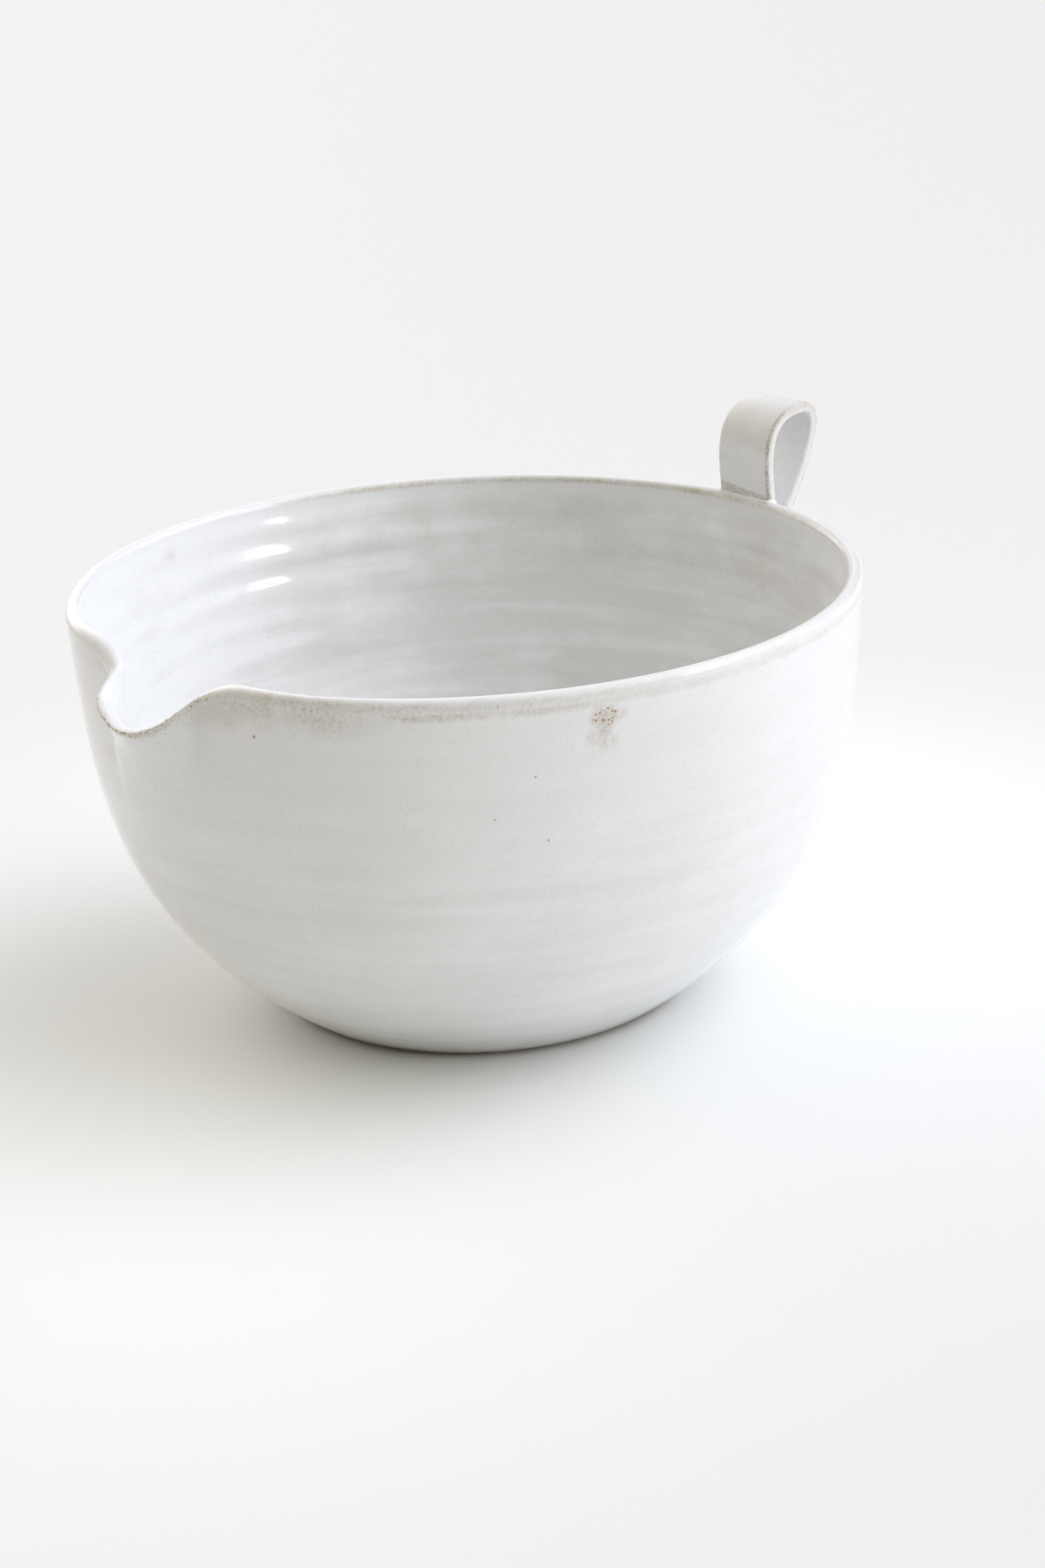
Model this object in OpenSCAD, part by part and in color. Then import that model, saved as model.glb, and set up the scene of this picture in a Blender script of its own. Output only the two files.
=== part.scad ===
// Batter bowl in glazed stoneware: a thrown bowl with a pulled spout, and a strap handle luted to its rim.
// Millimetres, +Z up. The foot stands on z = 0, the spout points along +X and the handle along -X.

/* [Bowl] */
// Outer diameter across the rim
rim_d = 220; // [200:1:250]
// Height from the table to the top of the rim
bowl_h = 120.5; // [100:0.5:145]
// Diameter of the foot
foot_d = 110; // [90:1:130]
// How far the upper wall still opens, on the radius
flare = 8; // [2:0.5:12]
// How soon the wall turns upright above the foot
belly = 3.6; // [2.8:0.1:4.4]
// Wall thickness at the rim, whose edge is a full round
rim_t = 4; // [3:0.1:6]
// Wall thickness at the heel, just above the foot
heel_t = 5.5; // [4:0.1:8]
// Height of the inside floor above the table
floor_h = 6.5; // [5:0.5:10]
// Roundness of the turn from the floor to the wall
floor_blend = 8; // [4:0.5:14]
// Radius of the level middle of the floor
floor_mid_r = 12; // [8:0.5:20]

/* [Foot] */
// Width of the ring that the bowl stands on
foot_ring_w = 7; // [5:0.5:12]
// Depth of the hollow trimmed into the underside
recess_h = 2; // [1:0.5:3]
// Bevel trimmed on the foot's outer edge
foot_bevel = 0.8; // [0.4:0.1:1.5]

/* [Spout] */
// How far the lip is pulled out past the rim
lip_out = 7.3; // [4:0.1:10]
// Half width of the pulled lip, along the rim
lip_spread = 26.5; // [20:0.5:32]
// How far the lip is drawn down below the rim
lip_drop = 15.5; // [8:0.5:18]
// Half width of the dip, along the rim
drop_spread = 25; // [20:0.5:30]
// How far the rim is pinched in on each side of the lip
pinch_in = 7.7; // [4:0.1:9]
// Distance along the rim from the middle of the lip to each pinch
pinch_at = 20.5; // [17:0.5:26]
// Length of the pinch's steep flank, towards the lip
pinch_steep = 3.9; // [3.4:0.1:8]
// Length of the pinch's gentle flank, away from the lip
pinch_gentle = 19; // [12:0.5:26]
// How far each pinch lifts the rim
pinch_rise = 3.1; // [0:0.1:4]
// Depth over which the lip's bulge fades into the wall
lip_reach = 22; // [16:1:30]
// Depth over which the pinches fade into the wall
pinch_reach = 24; // [16:1:34]
// Depth over which the dip fades into the wall
drop_reach = 32; // [26:1:40]

/* [Handle] */
// Width of the strap
strap_w = 21; // [15:0.5:28]
// Thickness of the strap
strap_t = 3.2; // [2.6:0.1:4]
// Radius of the strap's rounded edges
strap_round = 1.1; // [0.6:0.1:1.2]
// Height of the strap's crest above the rim
crest_h = 27.2; // [22:0.2:36]
// Distance of the crest outwards from the middle of the rim
crest_out = 13.8; // [11:0.2:20]
// Distance of the strap's inner leg outwards from the middle of the rim
leg_out = 0.6; // [0:0.1:1]
// Depth below the rim at which the strap's outer leg meets the wall
tail_drop = 10; // [9:0.5:18]
// Lean of the outer leg where it meets the wall, from upright, in degrees
tail_lean = 34; // [28:1:45]
// Pull of the curve up from the rim
leg_pull = 5.1; // [3:0.1:9]
// Pull of the curve into the crest, on the bowl's side
crest_pull_in = 17.2; // [13:0.2:19]
// Pull of the curve out of the crest, on the far side
crest_pull_far = 11.5; // [9:0.1:14]
// Pull of the curve into the outer leg's end
tail_pull = 16; // [12:0.5:20]

/* [Joints] */
// Thickness of the soft clay worked in under each end of the strap
lute_t = 1.5; // [1:0.1:2.4]
// How far that clay spreads past the strap
lute_spread = 1.8; // [1.2:0.1:3]
// Thickness of that clay along its feathered edge
lute_edge = 0.25; // [0.2:0.05:0.5]
// Clearance between neighbouring pieces
seat_gap = 0.16; // [0.14:0.02:0.3]

/* [Hidden] */

glaze = "#e3e3df";
strap_glaze = "#dddcd6";
joint_glaze = "#d3cec4";

// Columns round the bowl, and how strongly they crowd towards the spout
columns = 110;
crowding = 0.72;
// Rings up the outer wall, over the rim's round and down the inside
outer_rings = 18;
rim_steps = 6;
inner_rings = 22;
// Sections along each half of the strap's loop, and steps round each of its edges
strap_sections = 22;
edge_steps = 3;
// Steps across the joint pads
pad_steps = 12;

rim_r = rim_d / 2;
foot_r = foot_d / 2;
rim_round = rim_t / 2;
rim_mid_r = rim_r - rim_round;
wall_h = bowl_h - rim_round;
belly_r = rim_r - foot_r - flare;
recess_r = foot_r - foot_ring_w;

// The wall, by the share t of its height: it springs out from the foot, turns upright and flares a little

function wall_r(t) = foot_r + belly_r * (1 - pow(1 - t, belly)) + flare * t;
function wall_slope(t) = (belly_r * belly * pow(1 - t, belly - 1) + flare) / wall_h;
function wall_t(t) = rim_t + (heel_t - rim_t) * (1 - max(t, 0));

function outer_point(t) = [wall_r(t), wall_h * t];

// The inside runs one wall thickness off the outside, and rounds over into the floor
function inner_point(t) =
    let (slope = wall_slope(t),
         along = sqrt(1 + slope * slope),
         r = wall_r(t) - wall_t(t) / along,
         z = wall_h * t + wall_t(t) * slope / along,
         above = z - floor_h)
    [r, floor_h + (above + sqrt(above * above + floor_blend * floor_blend)) / 2];

// Share of the height, below the foot, at which the inside's curve has come to the middle of the floor
t_floor = 1 - pow(1 + (foot_r - floor_mid_r) / belly_r, 1 / belly);
t_foot = foot_bevel / wall_h;
t_inside_top = 1 - rim_t / wall_h;

profile = [
    [foot_r - foot_bevel, 0],
    for (i = [0:outer_rings]) outer_point(t_foot + (1 - t_foot) * i / outer_rings),
    for (i = [1:rim_steps - 1])
        let (a = 180 * i / rim_steps)
        [rim_mid_r + rim_round * cos(a), wall_h + rim_round * sin(a)],
    for (i = [0:inner_rings]) inner_point(t_inside_top + (t_floor - t_inside_top) * i / inner_rings),
];

// The spout is a change to the finished rim, by the distance s along the rim from the middle of the lip

function hump(x, width) = exp(-pow(x / width, 2));
function pinch(s) =
    let (past = abs(s) - pinch_at)
    hump(past, past < 0 ? pinch_steep : pinch_gentle);
function fade(depth, reach) = pow(max(0, 1 - depth / min(3 * reach, wall_h)), 3);
function spout_out(s, depth) =
    lip_out * hump(s, lip_spread) * fade(depth, lip_reach)
    - pinch_in * pinch(s) * fade(depth, pinch_reach);
function spout_up(s, depth) =
    (pinch_rise * pinch(s) - lip_drop * hump(s, drop_spread)) * fade(depth, drop_reach);

function column_angle(i) =
    let (turn = i / columns - 0.5)
    360 * turn - crowding * sin(360 * turn) * 180 / PI;

// A point of the profile at an angle round the bowl, with the spout pulled
function on_bowl(p, angle) =
    let (s = rim_r * angle * PI / 180,
         depth = max(0, bowl_h - p[1]),
         r = p[0] + spout_out(s, depth))
    [r * cos(angle), r * sin(angle), p[1] + spout_up(s, depth)];

// The strap's middle line, as [distance from the bowl's axis, height], in two cubic curves that meet at the crest

function mix(a, b, f) = a + (b - a) * f;
function cubic(p, f) =
    len(p) == 1 ? p[0] : cubic([for (i = [0:len(p) - 2]) mix(p[i], p[i + 1], f)], f);

tail_z = bowl_h - tail_drop;
tail_wall_r = wall_r(tail_z / wall_h);
leg_end = [rim_mid_r + leg_out, bowl_h + lute_t + seat_gap];
crest = [rim_mid_r + crest_out, bowl_h + crest_h - strap_t / 2];
tail_end = [tail_wall_r + lute_t + 2 * seat_gap, tail_z];

inner_curve = [leg_end, leg_end + [0, leg_pull], crest - [crest_pull_in, 0], crest];
outer_curve = [
    crest,
    crest + [crest_pull_far, 0],
    tail_end + tail_pull * [sin(tail_lean), cos(tail_lean)],
    tail_end,
];
middle_line = [
    for (i = [0:strap_sections]) cubic(inner_curve, i / strap_sections),
    for (i = [1:strap_sections]) cubic(outer_curve, i / strap_sections),
];
last = len(middle_line) - 1;

// Across the strap's thickness: square to its middle line, but upright where the end is cut to the wall
tail_cut_h = strap_t / sin(tail_lean);
function across(i) =
    let (step = middle_line[min(i + 1, last)] - middle_line[max(i - 1, 0)],
         unit = step / norm(step))
    i == 0 ? [-1, 0] : i == last ? [0, tail_cut_h / strap_t] : [-unit[1], unit[0]];

// The strap's section as [along its width, across its thickness], with round edges
section = [
    for (corner = [0:3], k = [0:edge_steps])
        let (a = 90 * corner + 90 * k / edge_steps,
             sx = corner == 0 || corner == 3 ? 1 : -1,
             sy = corner < 2 ? 1 : -1)
        [sx * (strap_w / 2 - strap_round) + strap_round * cos(a),
         sy * (strap_t / 2 - strap_round) + strap_round * sin(a)],
];
function strap_ring(i) = [
    for (p = section)
        let (at = middle_line[i] + p[1] * across(i))
        [-at[0], p[0], at[1]],
];

// Solids from rows of points

function mean(points) = [for (p = points) 1] * points / len(points);

// A tube through closed rings of points, with both ends closed
module loft(rings) {
    n = len(rings[0]);
    m = len(rings);
    sides = [
        for (j = [0:m - 2], i = [0:n - 1])
            let (a = j * n + i, b = j * n + (i + 1) % n)
            each [[a, b + n, b], [a, a + n, b + n]],
    ];
    ends = [
        for (i = [0:n - 1])
            let (k = (i + 1) % n)
            each [[m * n, i, k], [m * n + 1, (m - 1) * n + k, (m - 1) * n + i]],
    ];
    points = concat([for (ring = rings) each ring], [mean(rings[0]), mean(rings[m - 1])]);
    polyhedron(points, concat(sides, ends), convexity = 6);
}

// A pad between two grids of points that face each other
module pad(front, back) {
    rows = len(front);
    n = len(front[0]);
    count = rows * n;
    skins = [
        for (j = [0:rows - 2], i = [0:n - 2])
            let (a = j * n + i, b = a + 1, c = b + n, d = a + n)
            each [[a, b, c], [a, c, d], [count + a, count + c, count + b], [count + a, count + d, count + c]],
    ];
    border = [
        for (i = [0:n - 2]) i,
        for (j = [0:rows - 2]) j * n + n - 1,
        for (i = [n - 1:-1:1]) (rows - 1) * n + i,
        for (j = [rows - 1:-1:1]) j * n,
    ];
    edges = [
        for (k = [0:len(border) - 1])
            let (a = border[k], b = border[(k + 1) % len(border)])
            each [[b, a, count + a], [b, count + a, count + b]],
    ];
    polyhedron(concat([for (row = front) each row], [for (row = back) each row]), concat(skins, edges), convexity = 4);
}

// How full a pad is at a share f of its half length: level under the strap, and falling away at the edge
function level(f, steepness) = 1 - pow(abs(f), steepness);

// The thrown bowl, with its spout pulled and its foot trimmed
module bowl() {
    color(glaze)
        difference() {
            loft([for (p = profile) [for (i = [0:columns - 1]) on_bowl(p, column_angle(i))]]);
            foot_recess();
        }
}

module foot_recess() {
    rotate_extrude($fn = 96)
        polygon([
            [0, -recess_h], [recess_r, -recess_h], [recess_r, 0],
            [recess_r - recess_h, recess_h], [0, recess_h],
        ]);
}

// The strap, from the rim over the crest to the wall
module handle() {
    color(strap_glaze) loft([for (i = [0:last]) strap_ring(i)]);
}

// The saddle of clay on the rim that the strap's inner leg stands on
module rim_joint() {
    half = (strap_w / 2 + lute_spread) / rim_mid_r * 180 / PI;
    squareness = 2 / 5;
    half_t = rim_round + leg_out + lute_edge + seat_gap;
    grid = [for (j = [-pad_steps:2:pad_steps]) [for (i = [0:pad_steps]) [j / pad_steps, 180 * i / pad_steps]]];
    function on_rim(f, r, z) = [-r * cos(half * f), r * sin(half * f), z];
    function back(g) =
        let (seat = rim_round + seat_gap)
        on_rim(g[0], rim_mid_r + seat * cos(g[1]), wall_h + seat * sin(g[1]));
    function front(g) =
        let (rise = lute_edge + (lute_t - lute_edge) * level(g[0], 16),
             u = sign(cos(g[1])) * pow(abs(cos(g[1])), squareness),
             v = pow(sin(g[1]), squareness))
        on_rim(g[0], rim_mid_r + leg_out + half_t * u, wall_h + (rim_round + rise) * v);
    color(joint_glaze)
        pad([for (row = grid) [for (g = row) front(g)]], [for (row = grid) [for (g = row) back(g)]]);
}

// The pad of clay on the wall that the strap's outer leg is cut to
module wall_joint() {
    half_w = strap_w / 2 + lute_spread;
    half_h = tail_cut_h / 2 + lute_spread;
    top_r = tail_wall_r + lute_t + seat_gap;
    steps = [for (i = [-pad_steps:2:pad_steps]) i / pad_steps];
    function seat(y, z) = sqrt(pow(wall_r(z / wall_h) + seat_gap, 2) - y * y);
    function back(a, b) =
        let (y = half_w * a, z = tail_z + half_h * b)
        [-seat(y, z), y, z];
    function front(a, b) =
        let (p = back(a, b), full = level(a, 12) * level(b, 6))
        [-mix(-p[0] + lute_edge, top_r, full), p[1], p[2]];
    color(joint_glaze)
        pad([for (b = steps) [for (a = steps) front(a, b)]], [for (b = steps) [for (a = steps) back(a, b)]]);
}

bowl();
handle();
rim_joint();
wall_joint();
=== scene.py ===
"""Batter bowl in glazed stoneware: a thrown bowl with a pulled spout, and a strap handle luted to its rim."""

from collections import namedtuple
from math import copysign, cos, exp, hypot, pi, radians, sin, sqrt

import bmesh
import bpy
from bpy.props import FloatProperty, FloatVectorProperty, IntProperty, PointerProperty
from mathutils import Matrix, Vector


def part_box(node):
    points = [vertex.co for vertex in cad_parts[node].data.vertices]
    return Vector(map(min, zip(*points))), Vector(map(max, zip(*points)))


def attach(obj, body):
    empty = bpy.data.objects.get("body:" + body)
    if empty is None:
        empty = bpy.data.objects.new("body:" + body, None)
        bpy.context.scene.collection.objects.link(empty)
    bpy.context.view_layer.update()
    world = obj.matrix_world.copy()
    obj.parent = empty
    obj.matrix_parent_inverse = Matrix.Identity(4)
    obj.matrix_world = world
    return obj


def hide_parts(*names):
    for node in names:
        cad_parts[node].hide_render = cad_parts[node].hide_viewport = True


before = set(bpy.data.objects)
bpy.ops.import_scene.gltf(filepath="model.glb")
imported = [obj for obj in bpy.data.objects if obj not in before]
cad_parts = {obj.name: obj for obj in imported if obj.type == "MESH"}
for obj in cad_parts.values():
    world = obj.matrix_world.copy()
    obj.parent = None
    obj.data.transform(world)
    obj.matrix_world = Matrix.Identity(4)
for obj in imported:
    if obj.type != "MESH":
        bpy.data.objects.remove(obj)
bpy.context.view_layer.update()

bl_info = {
    "name": "Batter bowl",
    "version": (1, 0, 0),
    "blender": (4, 5, 0),
    "location": "View3D > Sidebar > Batter bowl",
    "description": "Throws a stoneware batter bowl with a spout and a strap handle, and glazes it",
    "category": "Object",
}

# The frame is in metres
MM = 0.001
BOWL_LOW, BOWL_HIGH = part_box("bowl")
STRAP_LOW, STRAP_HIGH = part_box("handle")

# How finely the meshes are cut, and how much the bowl's columns crowd towards the spout
UNDER_ROWS = 8
OUTER_ROWS = 76
RIM_ROWS = 18
INNER_ROWS = 86
BOWL_COLUMNS = 481
SPOUT_CROWDING = 0.72
STRAP_STEPS = 140
EDGE_STEPS = 5
FACE_CUTS = 2
LUTE_ROWS = 32
RIM_LUTE_COLUMNS = 56
WALL_LUTE_COLUMNS = 64

# How hollow the fillets of the luted clay are
LUTE_HOLLOW = 1.7

# Kinds of node that the trees use most, and the setting for a soft step
ATTRIBUTE = "ShaderNodeAttribute"
POSITION = "GeometryNodeInputPosition"
SPLIT = "ShaderNodeSeparateXYZ"
VECTOR = "ShaderNodeVectorMath"
MAP = "ShaderNodeMapRange"
MIX = "ShaderNodeMix"
NOISE = "ShaderNodeTexNoise"
SMOOTH = {"interpolation_type": "SMOOTHSTEP"}


def linear(code):
    """Turns an sRGB hex code into linear red, green and blue."""
    parts = [int(code[i:i + 2], 16) / 255 for i in (1, 3, 5)]
    return tuple(c / 12.92 if c <= 0.04045 else ((c + 0.055) / 1.055) ** 2.4 for c in parts)


def number(name, description, default, **more):
    """A number that a user can change."""
    return FloatProperty(name=name, description=description, default=default, **more)


def length(name, description, mm):
    """A size that a user can change, given in millimetres."""
    return number(name, description, mm * MM, unit="LENGTH", precision=5)


def angle(name, description, degrees):
    """An angle that a user can change."""
    return number(name, description, radians(degrees), subtype="ANGLE")


def colour(name, description, code):
    """A colour that a user can change."""
    return FloatVectorProperty(
        name=name, description=description, default=linear(code), subtype="COLOR", size=3
    )


class BowlSizes(bpy.types.PropertyGroup):
    """The thrown bowl and its trimmed foot."""
    rim_d: length("Rim diameter", "Outer diameter across the rim", (BOWL_HIGH.y - BOWL_LOW.y) / MM)
    height: length("Height", "Height from the foot to the top of the rim", BOWL_HIGH.z / MM)
    foot_d: length("Foot diameter", "Diameter of the foot", 110)
    flare: length("Flare", "How far the upper wall still opens, on the radius", 8)
    belly: number("Belly", "How soon the wall turns upright above the foot", 3.6)
    rim_t: length("Rim thickness", "Wall thickness at the rim", 4)
    heel_t: length("Heel thickness", "Wall thickness just above the foot", 5.5)
    floor_h: length("Floor height", "Height of the inside floor above the foot", 6.5)
    floor_blend: length("Floor blend", "Roundness of the turn from the floor to the wall", 8)
    floor_mid_r: length("Floor middle", "Radius of the level middle of the floor", 12)
    foot_ring_w: length("Foot ring width", "Width of the ring that the bowl stands on", 7)
    recess_h: length("Recess depth", "Depth of the hollow trimmed into the underside", 2)
    foot_bevel: length("Foot bevel", "Bevel trimmed on the foot's outer edge", 0.8)
    rim_square: number("Rim squareness", "2 for a round rim, more for a squarer one", 2.2)
    rim_bead: length("Rim bead", "How far the glaze stands proud just under the rim", 0.2)
    rim_groove: length("Rim groove", "Depth of the thin line of glaze under that bead", 0.1)
    ring_gap: length("Throwing ring spacing", "Distance between the finger marks", 9.5)
    ring_in: length("Inside ring depth", "Height of the finger marks inside", 0.28)
    ring_out: length("Outside ring depth", "Height of the finger marks outside", 0.02)
    deep_side: angle("Deep side", "Turn at which the finger marks go deeper", -94)
    deeper: number("Deeper", "How much deeper the finger marks go there", 0.5)
    wobble: length("Wobble", "How far the wall strays from a true turn", 0.35)
    seed: IntProperty(name="Seed", description="Seed of the finger marks", default=81)


class SpoutSizes(bpy.types.PropertyGroup):
    """The spout, pulled from the soft rim."""
    lip_out: length("Lip out", "How far the lip is pulled out past the rim", 7.3)
    lip_spread: length("Lip spread", "Half width of the pulled lip, along the rim", 26.5)
    lip_drop: length("Lip drop", "How far the lip is drawn down below the rim", 15.5)
    drop_spread: length("Drop spread", "Half width of the dip, along the rim", 25)
    pinch_in: length("Pinch in", "How far the rim is pinched in beside the lip", 7.7)
    pinch_at: length("Pinch place", "Distance along the rim from the lip to each pinch", 20.5)
    pinch_steep: length("Pinch, steep", "Length of the pinch's flank towards the lip", 3.9)
    pinch_gentle: length("Pinch, gentle", "Length of the pinch's flank away from the lip", 19)
    pinch_rise: length("Pinch rise", "How far each pinch lifts the rim", 3.1)
    lip_reach: length("Lip reach", "Depth over which the lip's bulge fades", 15)
    pinch_reach: length("Pinch reach", "Depth over which the pinches fade", 17)
    drop_reach: length("Drop reach", "Depth over which the dip fades", 32)


class StrapSizes(bpy.types.PropertyGroup):
    """The strap handle and the clay that lutes it to the bowl."""
    width: length("Strap width", "Width of the strap", (STRAP_HIGH.y - STRAP_LOW.y) / MM)
    thick: length("Strap thickness", "Thickness of the strap", 3.2)
    edge: length("Edge radius", "Radius of the strap's rounded edges", 1.1)
    wobble: length("Strap wobble", "How far the strap's faces stray", 0.25)
    crest_h: length("Crest height", "Height of the crest above the rim", (STRAP_HIGH.z - BOWL_HIGH.z) / MM)
    crest_out: length("Crest out", "Distance of the crest out from the middle of the rim", 13.8)
    leg_out: length("Leg out", "Distance of the inner leg out from the middle of the rim", 0.6)
    tail_drop: length("Tail drop", "Depth below the rim at which the outer leg meets the wall", 10)
    tail_lean: angle("Tail lean", "Lean of the outer leg at the wall", 34)
    leg_pull: length("Leg pull", "Pull of the curve up from the rim", 5.1)
    crest_pull_in: length("Crest pull, in", "Pull of the curve into the crest", 17.2)
    crest_pull_far: length("Crest pull, far", "Pull of the curve out of the crest", 11.5)
    tail_pull: length("Tail pull", "Pull of the curve into the outer leg's end", 16)
    lute_t: length("Lute thickness", "Thickness of the clay worked in under the strap", 1.5)
    lute_rise: length("Lute rise", "How far that clay is smoothed up round the strap's foot", 0.9)
    lute_spread: length("Lute spread", "How far that clay spreads past the strap", 1.1)
    seat_gap: length("Seat", "Clearance between neighbouring solids", 0.16)


class GlazeColours(bpy.types.PropertyGroup):
    """The white glaze, and what shows where it runs thin."""
    white: colour("White", "Glaze where it lies thick", "#F1F2F3")
    grey: colour("Grey", "Glaze where the clay shows through it", "#E0E0DF")
    tan: colour("Tan", "Glaze where it breaks over an edge", "#B2A58D")
    iron: colour("Iron", "Specks of iron that bleed through the glaze", "#966A34")
    clay: colour("Bare clay", "The unglazed foot", "#9B8A76")


class StageSizes(bpy.types.PropertyGroup):
    """The floor, the camera and the light."""
    floor: colour("Floor", "Pale floor under the bowl", "#F1F2F1")
    far_floor: colour("Far floor", "The floor away from the bowl", "#E4E3E1")
    right_hue: colour("Right hue", "Cool light from the right", "#EFF2FF")
    back_hue: colour("Back hue", "Neutral light from behind and from overhead", "#FFFDFE")
    front_hue: colour("Front hue", "Soft light from in front", "#FFFFED")
    left_hue: colour("Left hue", "Warm light from the left", "#FFF1C8")
    right_light: number("Right light", "Strength of the light from the right", 4.05)
    back_light: number("Back light", "Strength of the light from behind", 2.85)
    front_light: number("Front light", "Strength of the light from in front", 0.95)
    left_light: number("Left light", "Strength of the light from the left", 0.62)
    top_light: number("Top light", "Strength of the light from overhead", 0.37)
    gleam: number("Gleam", "Power of the wider lamp that gleams on the glaze", 2.0, unit="POWER")
    turn: angle("Turn", "Heading of the camera round the bowl", 141.7)
    camera_out: length("Camera distance", "Distance of the camera from the bowl's axis", 928.95)
    camera_up: length("Camera height", "Height of the camera above the floor", 391.69)
    camera_pitch: angle("Pitch", "How far the camera looks down", 19.752)
    camera_yaw: angle("Yaw", "How far the camera looks aside", 0.824)
    camera_roll: angle("Roll", "How far the camera is tilted", -2.892)
    camera_lens: number("Lens", "Focal length on a 36 mm frame", 80.0, unit="CAMERA")


class BatterBowl(bpy.types.PropertyGroup):
    """Everything that a user can change."""
    bowl: PointerProperty(type=BowlSizes)
    spout: PointerProperty(type=SpoutSizes)
    strap: PointerProperty(type=StrapSizes)
    glaze: PointerProperty(type=GlazeColours)
    stage: PointerProperty(type=StageSizes)


# Nodes


def add(tree, kind, *wires, sockets=None, **settings):
    """Adds a node and returns its first output.

    The kind is a node's type, or a Math node's operation. Settings are the node's properties, wires feed its
    inputs in order and sockets feed them by name.
    """
    if kind.isupper():
        kind, settings["operation"] = "ShaderNodeMath", kind
    made = tree.nodes.new(kind)
    for name, value in settings.items():
        setattr(made, name, value)
    inputs = [socket for socket in made.inputs if socket.enabled]
    feeds = list(zip(inputs, wires))
    for name, wire in (sockets or {}).items():
        feeds.append((next(socket for socket in inputs if socket.name == name), wire))
    for socket, wire in feeds:
        if isinstance(wire, bpy.types.NodeSocket):
            tree.links.new(wire, socket)
        elif wire is not None:
            socket.default_value = wire
    return next((socket for socket in made.outputs if socket.enabled), None)


def times(tree, *factors):
    """The product of several values."""
    product = factors[0]
    for factor in factors[1:]:
        product = add(tree, "MULTIPLY", product, factor)
    return product


def most(tree, *masks):
    """The strongest of several masks."""
    strongest = masks[0]
    for mask in masks[1:]:
        strongest = add(tree, "MAXIMUM", strongest, mask)
    return strongest


def own_names(group):
    """Names of the properties that a group holds."""
    return [name for name in group.bl_rna.properties.keys() if name not in ("name", "rna_type")]


def titled(group, *names):
    """Some of a group's values, by titles for a tree's inputs."""
    return {name.replace("_", " ").capitalize(): getattr(group, name) for name in names}


def new_tree(name, values):
    """A geometry node tree with a named input for each of some values, and those inputs' sockets."""
    kinds = {float: "NodeSocketFloat", int: "NodeSocketInt", bpy.types.Material: "NodeSocketMaterial"}
    tree = bpy.data.node_groups.new(name, "GeometryNodeTree")
    tree.interface.new_socket("Geometry", in_out="INPUT", socket_type="NodeSocketGeometry")
    tree.interface.new_socket("Geometry", in_out="OUTPUT", socket_type="NodeSocketGeometry")
    for title, value in values.items():
        tree.interface.new_socket(title, in_out="INPUT", socket_type=kinds[type(value)])
    entry = tree.nodes.new("NodeGroupInput")
    return tree, {socket.name: socket for socket in entry.outputs if socket.name}


def finished(tree, given, shape):
    """Ends a geometry node tree with a smooth, plain mesh in the given material."""
    shape = add(tree, "GeometryNodeSetShadeSmooth", shape)
    shape = add(tree, "GeometryNodeRealizeInstances", shape)
    shape = add(tree, "GeometryNodeSetMaterial", shape, None, given["Material"])
    add(tree, "NodeGroupOutput", shape)
    return tree


def put(name, data):
    """Puts an object with some data in the scene."""
    made = bpy.data.objects.new(name, data)
    bpy.context.scene.collection.objects.link(made)
    return made


def shaped_by_nodes(data, tree, values):
    """Runs a geometry node tree on a mesh or a curve, and returns its result as a plain mesh."""
    host = put(data.name, data)
    modifier = host.modifiers.new(tree.name, "NODES")
    modifier.node_group = tree
    for socket in tree.interface.items_tree:
        if socket.in_out == "INPUT" and socket.name in values:
            modifier[socket.identifier] = values[socket.name]
    depsgraph = bpy.context.evaluated_depsgraph_get()
    mesh = bpy.data.meshes.new_from_object(
        host.evaluated_get(depsgraph), preserve_all_data_layers=True, depsgraph=depsgraph
    )
    host.modifiers.remove(modifier)
    bpy.data.objects.remove(host)
    return mesh


def placed(name, mesh, slot, *nodes):
    """Puts a mesh in the scene as a piece that stands for CAD nodes."""
    piece = put(name, mesh)
    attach(piece, "root")
    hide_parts(*nodes)


# Shape of the wall, by the share t of its height


def wall_height(bowl):
    """Height at which the rim starts to round over."""
    return bowl.height - bowl.rim_t / 2


def belly_width(bowl):
    """How far the wall opens in its belly, on the radius."""
    return bowl.rim_d / 2 - bowl.foot_d / 2 - bowl.flare


def wall_radius(bowl, t):
    """Outer radius of the wall."""
    return bowl.foot_d / 2 + belly_width(bowl) * (1 - (1 - t) ** bowl.belly) + bowl.flare * t


def wall_slope(bowl, t):
    """How far the wall opens for each metre that it climbs."""
    opening = belly_width(bowl) * bowl.belly * (1 - t) ** (bowl.belly - 1) + bowl.flare
    return opening / wall_height(bowl)


def hump(off, width):
    """A bell curve of a width."""
    return exp(-(off / width) ** 2)


def outer_point(bowl, t):
    """A point of the outside, with the bead of glaze under the rim and the thin line under that."""
    bead_at, bead_w = 2.4 * MM, 1.5 * MM
    groove_at, groove_w = 5.0 * MM, 1.2 * MM
    z = wall_height(bowl) * t
    depth = bowl.height - z
    bead = bowl.rim_bead * hump(depth - bead_at, bead_w)
    groove = bowl.rim_groove * hump(depth - groove_at, groove_w)
    return wall_radius(bowl, t) + bead - groove, z


def inner_point(bowl, t):
    """A point of the inside, one wall thickness off the outside, that rounds over into the floor."""
    slope = wall_slope(bowl, t)
    along = sqrt(1 + slope * slope)
    wall_t = bowl.rim_t + (bowl.heel_t - bowl.rim_t) * (1 - max(t, 0))
    r = wall_radius(bowl, t) - wall_t / along
    above = wall_height(bowl) * t + wall_t * slope / along - bowl.floor_h
    return r, bowl.floor_h + (above + sqrt(above * above + bowl.floor_blend ** 2)) / 2


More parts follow.
